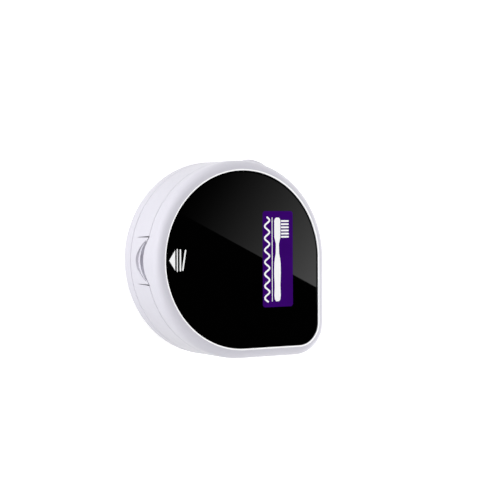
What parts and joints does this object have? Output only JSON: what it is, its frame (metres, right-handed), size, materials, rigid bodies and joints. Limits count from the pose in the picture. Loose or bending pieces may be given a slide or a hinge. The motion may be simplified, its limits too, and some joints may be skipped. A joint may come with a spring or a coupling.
{
  "type": "toothbrush sanitizer",
  "caption": "Round clamshell pod with a hinged lid, a thumb release tab and a push button; it shines UV light on the head of a toothbrush.",
  "frame": {"origin": "centre of the round body, on the flat back face", "axes": "+Z out of the front panel, +X towards the lid hinge, +Y away from the flat wall that the brush neck leaves through"},
  "size_m": [0.0674, 0.0683, 0.0258],
  "materials": {
    "shell_plastic": "satin white ABS with a faint lavender cast",
    "panel_acrylic": "polished black acrylic",
    "adhesive": "double-sided tape",
    "reflector": "metallised reflector",
    "silicone": "soft matt silicone",
    "steel": "nickel-plated steel",
    "circuit_board": "green solder mask",
    "chip_resin": "moulded black resin",
    "led_ceramic": "matt ceramic",
    "window": "clear UV-passing pane",
    "cell_foil": "laminated foil pouch",
    "foam": "closed-cell foam",
    "lead_red": "silicone wire sleeve",
    "lead_black": "silicone wire sleeve",
    "connector": "ivory nylon"
  },
  "bodies": {
    "base": {"base_shell": "shell_plastic", "rear_cover": "shell_plastic", "chamber_tray": "reflector", "uv_window": "window", "uv_led_board": "circuit_board", "uv_led_1": "led_ceramic", "uv_led_2": "led_ceramic", "uv_led_3": "led_ceramic", "neck_seal": "silicone", "control_board": "circuit_board", "controller_chip": "chip_resin", "hall_sensor": "chip_resin", "battery_plug": "connector", "tact_switch": "chip_resin", "charge_led": "led_ceramic", "light_guide": "window", "usb_socket": "steel", "battery_pad": "foam", "battery_cell": "cell_foil", "battery_lead_1": "lead_red", "battery_lead_2": "lead_black", "led_lead": "lead_black", "cover_screw_1": "steel", "cover_screw_2": "steel", "cover_screw_3": "steel", "cover_screw_4": "steel", "tray_screw_1": "steel", "tray_screw_2": "steel", "board_screw_1": "steel", "board_screw_2": "steel", "hinge_pin": "steel"},
    "lid": {"lid_shell": "shell_plastic", "front_panel": "panel_acrylic", "panel_adhesive": "adhesive", "lid_liner": "reflector", "lid_magnet": "steel", "lid_neck_seal": "silicone"},
    "release_tab": {"release_tab": "shell_plastic"},
    "button": {"power_button": "shell_plastic"}
  },
  "joints": [
    {"name": "lid_hinge", "type": "hinge", "parent": "base", "child": "lid", "pos_m": [0.03152, 0, 0.0187], "axis": [0, 1, 0], "range_deg": [0, 105]},
    {"name": "tab_flex", "type": "hinge", "parent": "base", "child": "release_tab", "pos_m": [-0.0327, 0, 0.011], "axis": [0, 1, 0], "range_deg": [0, 5], "stiffness_Nm_per_rad": 0.2},
    {"name": "power_press", "type": "slide", "parent": "base", "child": "button", "axis": [-0.3502, -0.9367, 0], "range_m": [0, 0.0005], "stiffness_N_per_m": 600, "springref_m": -0.0004}
  ]
}
